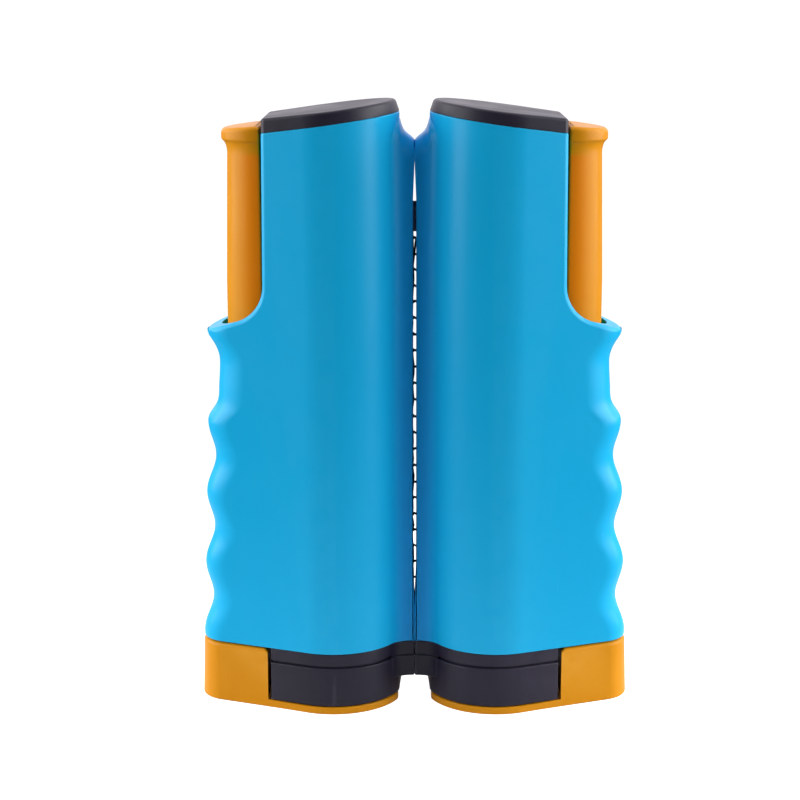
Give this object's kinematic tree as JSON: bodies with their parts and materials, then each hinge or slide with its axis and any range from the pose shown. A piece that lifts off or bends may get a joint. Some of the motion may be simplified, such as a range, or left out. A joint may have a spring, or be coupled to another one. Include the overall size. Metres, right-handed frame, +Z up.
{
  "type": "table tennis net clamp",
  "caption": "Spring clamp posts that stand together, each with a spool that winds in its end of the table tennis net between them.",
  "frame": {"origin": "on the floor, midway between the two posts", "axes": "+Z up along the posts; X along the net, from the left post to the right one; the thumb rests are the outer ends; -Y faces the picture's camera"},
  "size_m": [0.14, 0.045, 0.1934],
  "materials": {
    "blue_plastic": "satin gloss",
    "orange_plastic": "satin gloss",
    "black_plastic": "satin",
    "pad_rubber": "matt",
    "steel": "zinc plated",
    "net_cord": "knotted thread",
    "tape_cloth": "woven"
  },
  "bodies": {
    "left_clamp": {"left_plunger": "orange_plastic", "left_clamp_foot": "orange_plastic", "left_lower_jaw_pad": "pad_rubber", "left_foot_screws": "steel", "left_clamp_spring": "steel"},
    "left_post": {"left_housing": "blue_plastic", "left_top_cap": "black_plastic", "left_base_block": "black_plastic", "left_upper_jaw_pad": "pad_rubber", "left_base_screws": "steel", "left_spool_arbor": "steel", "left_spring_anchor": "black_plastic", "left_winding_spring": "steel"},
    "left_spool": {"left_spool_core": "black_plastic", "left_spool_lower_flange": "black_plastic", "left_spool_upper_flange": "black_plastic", "left_net_roll": "net_cord"},
    "right_clamp": {"right_plunger": "orange_plastic", "right_clamp_foot": "orange_plastic", "right_lower_jaw_pad": "pad_rubber", "right_foot_screws": "steel", "right_clamp_spring": "steel"},
    "right_post": {"right_housing": "blue_plastic", "right_top_cap": "black_plastic", "right_base_block": "black_plastic", "right_upper_jaw_pad": "pad_rubber", "right_base_screws": "steel", "right_spool_arbor": "steel", "right_spring_anchor": "black_plastic", "right_winding_spring": "steel"},
    "right_spool": {"right_spool_core": "black_plastic", "right_spool_lower_flange": "black_plastic", "right_spool_upper_flange": "black_plastic", "right_net_roll": "net_cord"},
    "net": {"net_mesh": "net_cord", "net_top_tape": "tape_cloth", "net_bottom_tape": "tape_cloth"}
  },
  "joints": [
    {"name": "posts_apart", "type": "slide", "parent": "left_clamp", "child": "right_clamp", "axis": [1, 0, 0], "range_m": [0, 1.7], "stiffness_N_per_m": 1.5, "springref_m": -1},
    {"name": "left_clamp_open", "type": "slide", "parent": "left_clamp", "child": "left_post", "axis": [0, 0, 1], "range_m": [0, 0.045], "stiffness_N_per_m": 400, "springref_m": -0.025, "deforming": ["left_clamp_spring"]},
    {"name": "right_clamp_open", "type": "slide", "parent": "right_clamp", "child": "right_post", "axis": [0, 0, 1], "range_m": [0, 0.045], "stiffness_N_per_m": 400, "springref_m": -0.025, "deforming": ["right_clamp_spring"]},
    {"name": "left_spool_turn", "type": "hinge", "parent": "left_post", "child": "left_spool", "pos_m": [-0.026, 0, 0.09275], "axis": [0, 0, 1], "range_deg": [-4700, 0]},
    {"name": "right_spool_turn", "type": "hinge", "parent": "right_post", "child": "right_spool", "pos_m": [0.026, 0, 0.09275], "axis": [0, 0, 1], "range_deg": [0, 4700]},
    {"name": "net_pull", "type": "slide", "parent": "left_post", "child": "net", "axis": [1, 0, 0], "range_m": [0, 1.7], "deforming": ["net_mesh", "net_top_tape", "net_bottom_tape"]}
  ],
  "couplings": [
    {"joint": "left_spool_turn", "follows": "posts_apart", "rad_per_m": -48.08},
    {"joint": "right_spool_turn", "follows": "posts_apart", "rad_per_m": 48.08},
    {"joint": "net_pull", "follows": "posts_apart", "ratio": 1}
  ]
}
